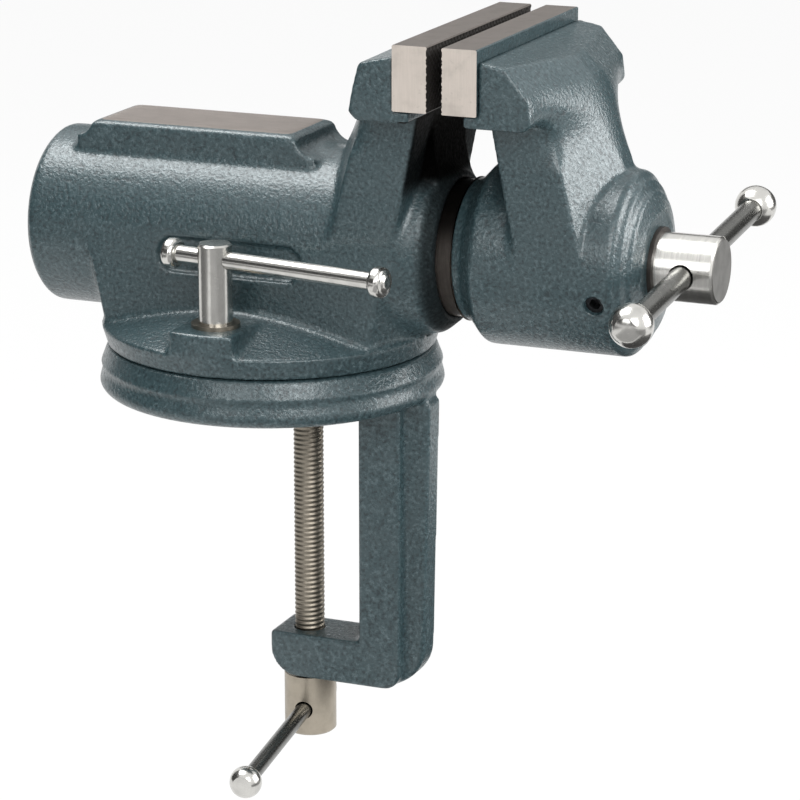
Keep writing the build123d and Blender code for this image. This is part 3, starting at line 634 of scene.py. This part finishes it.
def turned_shading(mesh, centre, way):
    """Exact normals on the faces of a mesh that were turned about an axis; the others stay as they are."""
    normals = [Vector(corner.vector) for corner in mesh.corner_normals]

    def away(point):
        out = point - centre
        return (out - way * out.dot(way)).normalized()

    for face in mesh.polygons:
        out = away(face.center)
        if abs(face.normal.dot(way.cross(out))) > TURNED_SLACK:
            continue
        for corner in face.loop_indices:
            there = away(mesh.vertices[mesh.loops[corner].vertex_index].co)
            normals[corner] = (there * face.normal.dot(out) + way * face.normal.dot(way)).normalized()
    mesh.normals_split_custom_set(normals)


def voxel_skin(mesh, voxel):
    """An even closed skin over a bmesh, as a new mesh."""
    blank = bpy.data.objects.new("blank", as_data("blank", mesh))
    bpy.context.scene.collection.objects.link(blank)
    remesh = blank.modifiers.new("remesh", "REMESH")
    remesh.mode = "VOXEL"
    remesh.voxel_size = voxel
    depsgraph = bpy.context.evaluated_depsgraph_get()
    skin = bpy.data.meshes.new_from_object(blank.evaluated_get(depsgraph))
    bpy.data.objects.remove(blank)
    return skin


def values_of(items, name, width, kind):
    """One attribute of a mesh's items as rows of an array."""
    flat = np.empty(len(items) * width, kind)
    items.foreach_get(name, flat)
    return flat.reshape(-1, width)


def neighbour_mean(values, ends, counts):
    """Mean of each point's neighbours along the mesh's edges."""
    total = np.zeros_like(values)
    for column in range(values.shape[1]):
        total[:, column] = np.bincount(ends[:, 0], values[ends[:, 1], column], len(values))
        total[:, column] += np.bincount(ends[:, 1], values[ends[:, 0], column], len(values))
    return total / counts[:, None]


def hollows(mesh, points, ends, counts, voxel):
    """1 along a skin's inside corners, fading out beside them."""
    normals = values_of(mesh.vertex_normals, "vector", 3, np.float32)
    settled = points.copy()
    for _ in range(SETTLE_PASSES):
        settled += RELAX * (neighbour_mean(settled, ends, counts) - settled)
    bend = np.einsum("ij,ij->i", neighbour_mean(settled, ends, counts) - settled, normals) / voxel
    hollow = np.clip((bend - HOLLOW_START) / HOLLOW_SPAN, 0, 1)[:, None]
    for _ in range(SPREAD_PASSES):
        hollow = np.maximum(hollow, SPREAD_GAIN * neighbour_mean(hollow, ends, counts)).clip(0, 1)
    for _ in range(SPREAD_PASSES):
        hollow = neighbour_mean(hollow, ends, counts)
    return hollow


def cast_rounding(mesh, firm, soft):
    """Round a skin's edges and fill its corners as a foundry does.

    firm(points) is 1 where the skin stays sharp, and soft(points) is 1 where its forms melt together.
    """
    look = bpy.context.scene.vise_casting
    points = values_of(mesh.vertices, "co", 3, np.float32).astype(float)
    ends = values_of(mesh.edges, "vertices", 2, np.int32)
    counts = np.bincount(ends.ravel(), minlength=len(points)).astype(float)
    free = 1.0 - firm(points)[:, None]
    hollow = hollows(mesh, points, ends, counts, look.voxel)
    steps = (
        (soft(points)[:, None], look.melt_passes),
        (free, look.edge_passes),
        (free * hollow, look.fillet_passes),
    )
    for share, passes in steps:
        for _ in range(passes):
            points += RELAX * share * (neighbour_mean(points, ends, counts) - points)
    mesh.vertices.foreach_set("co", points.astype(np.float32).ravel())
    all_smooth(mesh)
    mesh.update()
    return mesh


def nowhere(points):
    return np.zeros(len(points))


def cast_piece(name, mesh, body, material, node, firm, soft=nowhere):
    """A cast skin over a bmesh, as a piece that stands for a CAD node."""
    skin = cast_rounding(voxel_skin(mesh, bpy.context.scene.vise_casting.voxel), firm, soft)
    return new_piece(name, skin, body, "casting_paint", [material], node)


def under_head(points, side):
    """1 where a jaw's flank runs from its head into its leg; side is +1 for the sliding jaw."""
    out = side * (points[:, 0] - JAW_MIDDLE)
    height = np.clip(HEAD_PLATEAU - np.abs(points[:, 2] - HEAD_FOOT) / HEAD_REACH, 0, 1)
    width = np.clip((HEAD_HALF_WIDTH - np.abs(points[:, 1])) / HEAD_SIDE_FADE, 0, 1)
    return height * width * np.clip((out - HEAD_START) / HEAD_START_FADE, 0, 1)


def near(value, level, width):
    return np.abs(value - level) < width


def triangle_wave(value):
    return np.abs(2 * (value - np.floor(value)) - 1)


# Operators, one for each piece or group of like pieces

class VISE_OT_base_casting(bpy.types.Operator):
    """Cast skin of the base ring and the clamp's C-frame"""

    bl_idname = "vise.base_casting"
    bl_label = "Base casting"

    spigot_rise = 0.7 * MM
    spigot_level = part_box("body_casting")[0].z + spigot_rise
    arm_level = -80.0 * MM
    bore_radius = 7.0 * MM
    crease_level = 9.5 * MM
    crease_width = 3.0 * MM
    crease_radius = 55.0 * MM
    crease_hold = 0.7

    def firm(self, points):
        """The spigot in the flange, the screw's bore and the groove round the ring."""
        bore = np.hypot(points[:, 0] - CLAMP_X, points[:, 1]) < self.bore_radius
        crease = near(points[:, 2], self.crease_level, self.crease_width)
        crease &= np.hypot(points[:, 0], points[:, 1]) > self.crease_radius
        fixed = (points[:, 2] > self.spigot_level) | (bore & (points[:, 2] < self.arm_level))
        return np.maximum(fixed, crease * self.crease_hold)

    def execute(self, context):
        mesh = joined_copy("base_casting")
        cast_piece("base_ring_and_frame", mesh, "base", hammered_enamel(), "base_casting", self.firm)
        return {"FINISHED"}


class VISE_OT_body_casting(bpy.types.Operator):
    """Cast skin of the body, with its ground anvil"""

    bl_idname = "vise.body_casting"
    bl_label = "Body casting"

    bore_radius = 25.2 * MM
    anvil_edge = 0.8 * MM
    panel_side = 24.0 * MM
    panel_x = -1.8 * MM
    panel_half_length = 31.0 * MM
    panel_z = 53.2 * MM
    panel_half_height = 9.5 * MM
    panel_hold = 0.7

    def firm(self, points):
        """The ram's bore, the anvil's edge and the recessed panels on the pedestal's sides."""
        out = np.hypot(points[:, 1], points[:, 2] - SPINDLE_HEIGHT)
        anvil = near(points[:, 2], ANVIL_TOP, self.anvil_edge) & (points[:, 0] < ANVIL_FRONT)
        panel = np.abs(points[:, 1]) > self.panel_side
        panel &= near(points[:, 0], self.panel_x, self.panel_half_length)
        panel &= near(points[:, 2], self.panel_z, self.panel_half_height)
        return np.maximum(anvil | (out < self.bore_radius), panel * self.panel_hold)

    def execute(self, context):
        paint = finish_of("hammered_enamel_ground_anvil", body_finish)
        mesh = joined_copy("body_casting")
        cast_piece(
            "vise_body_casting", mesh, "vise_body", paint, "body_casting", self.firm,
            lambda points: under_head(points, -1))
        return {"FINISHED"}


class VISE_OT_sliding_jaw(bpy.types.Operator):
    """Cast skin of the sliding jaw and its machined ram"""

    bl_idname = "vise.sliding_jaw"
    bl_label = "Sliding jaw"

    neck = 79.0 * MM
    nose = 137.0 * MM
    nose_hold = 0.55
    bore_radius = 16.0 * MM
    screw_reach = 4.5 * MM
    screw_side = -20.0 * MM
    screw_hold = 0.8

    def firm(self, points):
        """The spindle's bore, the set screw's hole and the rings on the nose."""
        screw = near(points[:, 0], KEEPER_X, self.screw_reach) & (points[:, 1] < self.screw_side)
        inside = np.hypot(points[:, 1], points[:, 2] - SPINDLE_HEIGHT) < self.bore_radius
        rings = points[:, 0] > self.nose
        return np.maximum(np.maximum(screw * self.screw_hold, rings * self.nose_hold), inside)

    def execute(self, context):
        ground = finish_of("ground_ram", ram_finish, context.scene.vise_steel.ground)
        front = cut(joined_copy("moving_jaw"), (self.neck, 0, 0), (1, 0, 0))
        cast_piece(
            "sliding_jaw_casting", front, "sliding_jaw", hammered_enamel(), "moving_jaw", self.firm,
            lambda points: under_head(points, 1))
        rear = cut(joined_copy("moving_jaw"), (self.neck, 0, 0), (-1, 0, 0))
        ram = new_piece("ram", rear, "sliding_jaw", "casting_paint", [ground], "moving_jaw")
        smooth_shaded(ram.data)
        return {"FINISHED"}


class VISE_OT_jaw_plates(bpy.types.Operator):
    """Jaw plates with ground tops and knurled gripping faces"""

    bl_idname = "vise.jaw_plates"
    bl_label = "Jaw plates"

    step = 0.5 * MM
    chamfer = 0.4 * MM
    groove_start = 0.45
    crease = math.radians(20)
    screw_radius = 5.3 * MM
    screw_foot = 3.0 * MM
    screw_depth = 2.4 * MM
    screw_reach = 8.0 * MM
    screw_y = 30.0 * MM
    plates = {"moving_jaw_plate": ("sliding_jaw", 1), "fixed_jaw_plate": ("vise_body", -1)}
    grip, top, end, back = range(4)

    def grip_depth(self, across, up, knurl):
        """Depth of the crossed grooves at a point of the gripping face."""
        rise = (across + up) / knurl.knurl_pitch / math.sqrt(2)
        fall = (across - up) / knurl.knurl_pitch / math.sqrt(2)
        groove = np.maximum(triangle_wave(rise), triangle_wave(fall))
        return knurl.knurl_depth * np.clip((groove - self.groove_start) / (1 - self.groove_start), 0, 1)

    def plate(self, node, outward, knurl):
        """Closed plate lofted along its width; outward is +1 where its back faces +X."""
        low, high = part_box(node)
        face, rear = (low.x, high.x) if outward > 0 else (high.x, low.x)
        rows = round((high.z - low.z - 2 * self.chamfer) / self.step)
        columns = round((high.y - low.y) / self.step)
        ups = np.linspace(low.z + self.chamfer, high.z - self.chamfer, rows + 1)
        inset = self.chamfer * outward
        rest = [
            (face + inset, high.z), (rear - inset, high.z), (rear, high.z - self.chamfer),
            (rear, low.z + self.chamfer), (rear - inset, low.z), (face + inset, low.z),
        ]
        mesh = bmesh.new()
        loops = []
        for across in np.linspace(low.y, high.y, columns + 1):
            depths = self.grip_depth(across, ups, knurl)
            depths[[0, -1]] = 0
            loop = [mesh.verts.new((face + outward * depth, across, up)) for depth, up in zip(depths, ups)]
            loop += [mesh.verts.new((x, across, z)) for x, z in rest]
            loops.append(loop)
        middle_z = (low.z + high.z) / 2
        for here, there in zip(loops, loops[1:]):
            self.strip(mesh, here, there, rows, middle_z)
        for loop in (loops[0], loops[-1]):
            mesh.faces.new(loop).material_index = self.end
        self.sink_screws(mesh, face, middle_z, outward)
        bmesh.ops.delete(mesh, geom=[v for v in mesh.verts if not v.link_faces], context="VERTS")
        return mesh

    def strip(self, mesh, here, there, rows, middle_z):
        """Faces between two loops, open at the screws; the back and its upper edge take the enamel."""
        across = (here[0].co.y + there[0].co.y) / 2
        for index in range(len(here)):
            follow = (index + 1) % len(here)
            up = (here[index].co.z + here[follow].co.z) / 2
            out = math.hypot(abs(across) - self.screw_y, up - middle_z)
            if index < rows and out < self.screw_radius:
                continue
            quad = mesh.faces.new((here[index], there[index], there[follow], here[follow]))
            quad.material_index = self.grip if index < rows else self.top
            if index in (rows + 2, rows + 3):
                quad.material_index = self.back

    def sink_screws(self, mesh, face, middle_z, outward):
        """Round off the openings for the screws and give them sloping walls."""
        for side in (-1, 1):
            centre = Vector((face, side * self.screw_y, middle_z))
            rim = [
                edge for edge in mesh.edges
                if edge.is_boundary and (edge.verts[0].co - centre).length < self.screw_reach]
            for vert in {vert for edge in rim for vert in edge.verts}:
                away = Vector((0, vert.co.y - centre.y, vert.co.z - centre.z)).normalized()
                vert.co = centre + away * self.screw_radius
            foot = centre + Vector((outward * self.screw_depth, 0, 0))
            walls = bmesh.ops.extrude_edge_only(mesh, edges=rim)["geom"]
            for vert in [part for part in walls if isinstance(part, bmesh.types.BMVert)]:
                vert.co = foot + (vert.co - centre).normalized() * self.screw_foot

    def execute(self, context):
        steel = context.scene.vise_steel
        finishes = [
            finish_of(
                "knurled_steel", ground_finish, shade(steel.ground, 0.12), "y", shine=0.5, rough=0.5),
            finish_of(
                "ground_jaw_top", ground_finish, shade(steel.ground, 0.55), "y", shine=0.6, rough=0.40),
            finish_of(
                "brushed_jaw_end", ground_finish, steel.brushed, "z", shine=0.1, rough=0.46, line=0.04,
                grime=0.6),
            hammered_enamel(),
        ]
        for node, (body, outward) in self.plates.items():
            mesh = self.plate(node, outward, context.scene.vise_cut)
            name = node.replace("plate", "plate_knurled")
            piece = new_piece(name, mesh, body, "jaw_steel", finishes, node)
            smooth_shaded(piece.data, self.crease)
        return {"FINISHED"}


class VISE_OT_screws(bpy.types.Operator):
    """Black screws: jaw plates, nut, set screw and guide screw"""

    bl_idname = "vise.screws"
    bl_label = "Screws"

    def execute(self, context):
        oxide = finish_of("black_oxide", oxide_finish)
        for node in ("moving_jaw_screws", "fixed_jaw_screws", "keeper_screw", "guide_screw", "nut_screws"):
            dressed(node, oxide)
        return {"FINISHED"}


class VISE_OT_inside(bpy.types.Operator):
    """Nut, cap, washers, tee nuts, pad and ring"""

    bl_idname = "vise.inside"
    bl_label = "Inside pieces"

    def execute(self, context):
        steel = context.scene.vise_steel
        edge = context.scene.vise_cut.edge
        iron = finish_of("oiled_iron", iron_finish, steel.ground)
        washer = finish_of("plated_washer", plated_finish, steel.warm, rough=0.3)
        for node in ("spindle_nut", "lock_tee_nut_near", "lock_tee_nut_far", "pad_retaining_ring"):
            dressed(node, iron)
        for node in ("lock_washer_near", "lock_washer_far"):
            dressed(node, washer)
        dressed("clamp_pad", iron, edge)
        dressed("thrust_washer", finish_of("oiled_washer", iron_finish, shade(steel.ground, 0.25)))
        dressed("rear_cap", hammered_enamel(), edge)
        return {"FINISHED"}


class VISE_OT_spindle(bpy.types.Operator):
    """Spindle, its bar and the balls on the bar"""

    bl_idname = "vise.spindle"
    bl_label = "Spindle and bar"

    facing = 0.3 * MM
    crown = 0.8 * MM

    def execute(self, context):
        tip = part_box("spindle")[1].x - self.facing
        bright = context.scene.vise_steel.bright
        dressed("spindle", finish_of("turned_spindle", turned_finish, bright, tip))
        dressed("spindle_bar", drawn_steel())
        for end in ("near", "far"):
            node = f"spindle_bar_ball_{end}"
            mesh = crowned(node, "spindle_bar", self.crown)
            ball = new_piece(node + "_crowned", mesh, "spindle_bar", "bright_bar", [bright_nickel()], node)
            smooth_shaded(ball.data)
        return {"FINISHED"}


class VISE_OT_swivel_locks(bpy.types.Operator):
    """Lock posts with their sliding bars and knobs"""

    bl_idname = "vise.swivel_locks"
    bl_label = "Swivel locks"

    crown = 1.2 * MM
    dimple = 0.7 * MM

    def execute(self, context):
        bright = bright_nickel()
        for end in ("near", "far"):
            bar = f"lock_bar_{end}"
            dressed(f"lock_bolt_{end}", bright)
            dressed(bar, bright)
            for tip in ("short", "long"):
                node = f"lock_bar_{tip}_knob_{end}"
                mesh = crowned(node, bar, self.crown, self.dimple)
                knob = new_piece(node + "_peened", mesh, bar, "bright_bar", [bright], node)
                smooth_shaded(knob.data)
        return {"FINISHED"}


class VISE_OT_clamp_screw(bpy.types.Operator):
    """Clamp screw with a cut thread, its head and its bar"""

    bl_idname = "vise.clamp_screw"
    bl_label = "Clamp screw"

    around = 48
    per_turn = 8
    radius = 5.5 * MM
    arm_gap = 0.5 * MM
    pad_gap = 0.6 * MM
    head_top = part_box("base_casting")[0].z - arm_gap
    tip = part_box("clamp_pad")[0].z - pad_gap
    run_out = 3.0 * MM
    flank = 1.25
    crest = 0.1
    crease = math.radians(50)

    def thread(self, cuts):
        """Closed threaded rod: a tube of rings whose radius follows the helix."""
        rows = round((self.tip - self.head_top) / cuts.clamp_pitch * self.per_turn)
        turns = np.arange(self.around) / self.around
        mesh = bmesh.new()
        rings = []
        for row in range(rows + 1):
            z = self.head_top + (self.tip - self.head_top) * row / rows
            fade = min(1.0, (z - self.head_top) / self.run_out, (self.tip - z) / self.run_out)
            ridge = np.clip(self.flank * triangle_wave(z / cuts.clamp_pitch - turns) - self.crest, 0, 1)
            radii = self.radius - cuts.thread_depth * max(fade, 0.0) * ridge
            spokes = zip(radii, turns * math.tau)
            rings.append([
                mesh.verts.new((CLAMP_X + r * math.cos(a), r * math.sin(a), z)) for r, a in spokes])
        for low, high in zip(rings, rings[1:]):
            close_band(mesh, low, high)
        mesh.faces.new(rings[0])
        mesh.faces.new(rings[-1])
        return mesh

    def execute(self, context):
        steel = context.scene.vise_steel
        zinc = finish_of("warm_zinc", plated_finish, steel.warm, rough=0.40)
        # The head and tip are smoother turned zinc, and are also painted 1.4 times lighter than the thread
        # as a painted highlight.
        turned = finish_of("turned_zinc", plated_finish, shade(steel.warm, 1.4), rough=0.30)
        mesh = self.thread(context.scene.vise_cut)
        rod = new_piece("clamp_screw_thread", mesh, "clamp_screw", "clamp_steel", [zinc], "clamp_screw")
        smooth_shaded(rod.data, self.crease)
        for name, level, way in (("clamp_screw_head", self.head_top, -1), ("clamp_screw_tip", self.tip, 1)):
            mesh = cut(joined_copy("clamp_screw"), (0, 0, level), (0, 0, way))
            piece = new_piece(name, mesh, "clamp_screw", "clamp_steel", [turned], "clamp_screw")
            smooth_shaded(piece.data)
            turned_shading(piece.data, Vector((CLAMP_X, 0, 0)), Vector((0, 0, 1)))
        dressed("clamp_bar", drawn_steel())
        for end in ("near", "far"):
            dressed(f"clamp_bar_ball_{end}", bright_nickel())
        return {"FINISHED"}


class VISE_OT_stage(bpy.types.Operator):
    """Floor, room light, soft lights, dark cards and the camera"""

    bl_idname = "vise.stage"
    bl_label = "Stage"

    sensor = 36.0
    floor_size = 16.0
    floor_drop = 80.0 * MM
    floor_tone = 0.85
    floor_share = 0.92
    dull = 0.9
    # Power's name, place and width of each light
    lights = {
        "key_light": ("key_power", (0.95, -1.15, 0.85), 0.9),
        "top_light": ("top_power", (-0.5, 0.0, 1.4), 0.9),
        "rim_light": ("rim_power", (1.45, 0.55, 0.48), 0.9),
        "front_light": ("front_power", (-0.07, -1.05, 0.47), 0.5),
    }
    # Tone, size, place and height of each card; those without height lie flat
    cards = {
        "card_under": (0.04, (0.35, 0.40), (0.235, 0.08), 0.0),
        "card_front_left": (0.12, (1.1, 1.10), (-0.87, -0.7), 0.0),
        "card_front": (0.24, (0.5, 1.10), (0.17, -0.7), 0.0),
        "card_front_right": (0.14, (0.9, 1.25), (0.87, -0.625), 0.0),
        "card_right": (0.04, (1.3, 1.10), (1.35, 0.9), 0.0),
        "card_left": (0.04, (1.6, 1.80), (-1.4, -0.2), 0.6),
        "card_room": (0.04, (4.5, 1.60), (-0.3, -2.3), 0.95),
        "card_back": (0.04, (2.0, 0.55), (-0.6, 2.0), 0.9),
        "card_behind": (0.04, (2.2, 1.30), (1.0, 2.0), 0.35),
    }

    def shown_white(self, tree, lit, white, share):
        """White to the camera and in reflections for a share, and lit otherwise."""
        kinds = ("Camera", "Glossy", "Transmission")
        seen = [tree.node("ShaderNodeLightPath", output=f"Is {kind} Ray") for kind in kinds]
        shown = (seen[0] + seen[1] + seen[2]) * share
        return tree.node("ShaderNodeMixShader", {}, {0: shown, 1: lit, 2: white})

    def placed(self, name, data, place, way, track):
        """An object that turns one of its axes to a way."""
        made = bpy.data.objects.new(name, data)
        made.location = place
        made.rotation_mode = "QUATERNION"
        made.rotation_quaternion = way.to_track_quat(track, "Y")
        bpy.context.scene.collection.objects.link(made)
        return made

    def sheet(self, name, size, place, way, tone):
        """A flat dull sheet of the stage, with its finish."""
        mesh = bmesh.new()
        bmesh.ops.create_grid(mesh, x_segments=2, y_segments=2, size=0.5)
        bmesh.ops.scale(mesh, verts=mesh.verts, vec=(*size, 1))
        sheet = self.placed(name, as_data(name, mesh), place, way, "Z")
        finish = Finish(name, Base_Color=(tone, tone, tone, 1.0), Roughness=self.dull)
        sheet.data.materials.append(finish.material)
        sheet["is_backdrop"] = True
        return sheet, finish

    def floor(self, level):
        """White floor, far enough below the rest pose to leave room for the lowered clamp screw."""
        size = (self.floor_size, self.floor_size)
        place = Vector((0, 0, level - self.floor_drop))
        _, finish = self.sheet("floor", size, place, Vector((0, 0, 1)), self.floor_tone)
        white = finish.node("ShaderNodeEmission", {}, {"Strength": 1.0})
        lit = Wire(finish, finish.shader.outputs[0])
        shown = self.shown_white(finish, lit, white, self.floor_share)
        finish.join(finish.nodes["Material Output"].inputs[0], shown)

    def dark_cards(self, level, target):
        """Dark cards beside the set, which only give the paint and the metal something to mirror."""
        for name, (tone, size, (x, y), height) in self.cards.items():
            place = Vector((x, y, level + height))
            way = target - place if height else Vector((0, 0, 1))
            card, _ = self.sheet(name, size, place, way, tone)
            card.visible_camera = False
            card.visible_diffuse = False
            card.visible_shadow = False

    def room(self, strength):
        """Even light from all round, which looks white."""
        world = bpy.data.worlds.new("studio")
        world.use_nodes = True
        bpy.context.scene.world = world
        tree = Tree(world.node_tree)
        lit, white = (
            tree.node("ShaderNodeBackground", {}, {"Color": (1, 1, 1, 1), "Strength": level})
            for level in (strength, 1.0))
        tree.join(tree.nodes["World Output"].inputs[0], self.shown_white(tree, lit, white, 1.0))

    def soft_lights(self, look, target):
        """Square lights that face the vise."""
        for name, (power, place, size) in self.lights.items():
            lamp = bpy.data.lights.new(name, "AREA")
            lamp.size = size
            lamp.energy = getattr(look, power)
            self.placed(name, lamp, place, target - Vector(place), "-Z")

    def camera(self, look, target):
        """A camera at the look's angles and distance from its target."""
        back = Vector((
            math.sin(look.azimuth) * math.cos(look.elevation),
            -math.cos(look.azimuth) * math.cos(look.elevation),
            math.sin(look.elevation)))
        data = bpy.data.cameras.new("camera")
        data.sensor_width = self.sensor
        data.lens = look.lens
        return self.placed("camera", data, target + back * look.distance, -back, "-Z")

    def execute(self, context):
        look = context.scene.vise_studio
        context.scene.view_settings.view_transform = "Standard"
        target = Vector(look.target)
        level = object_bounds()[0].z
        context.scene.camera = self.camera(look, target)
        self.floor(level)
        self.room(look.fill)
        self.soft_lights(look, target)
        self.dark_cards(level, target)
        return {"FINISHED"}


GROUPS = {
    CastingLook: "vise_casting",
    SteelLook: "vise_steel",
    CutSizes: "vise_cut",
    StudioLook: "vise_studio",
}
OPERATORS = (
    VISE_OT_base_casting,
    VISE_OT_body_casting,
    VISE_OT_sliding_jaw,
    VISE_OT_jaw_plates,
    VISE_OT_screws,
    VISE_OT_inside,
    VISE_OT_spindle,
    VISE_OT_swivel_locks,
    VISE_OT_clamp_screw,
    VISE_OT_stage,
)


class VISE_PT_panel(bpy.types.Panel):
    """Lists the vise's pieces in the sidebar"""

    bl_idname = "VISE_PT_panel"
    bl_label = "Bench vise"
    bl_space_type = "VIEW_3D"
    bl_region_type = "UI"
    bl_category = "Vise"

    def draw(self, context):
        for group, name in GROUPS.items():
            box = self.layout.box()
            for key in group.__annotations__:
                box.prop(getattr(context.scene, name), key)
        for operator in OPERATORS:
            self.layout.operator(operator.bl_idname)


def register():
    for group, name in GROUPS.items():
        bpy.utils.register_class(group)
        setattr(bpy.types.Scene, name, bpy.props.PointerProperty(type=group))
    for item in (*OPERATORS, VISE_PT_panel):
        bpy.utils.register_class(item)


def unregister():
    for item in (VISE_PT_panel, *reversed(OPERATORS)):
        bpy.utils.unregister_class(item)
    for group, name in GROUPS.items():
        delattr(bpy.types.Scene, name)
        bpy.utils.unregister_class(group)


def main():
    register()
    for operator in OPERATORS:
        folder, name = operator.bl_idname.split(".")
        getattr(getattr(bpy.ops, folder), name)()


if __name__ == "__main__":
    main()
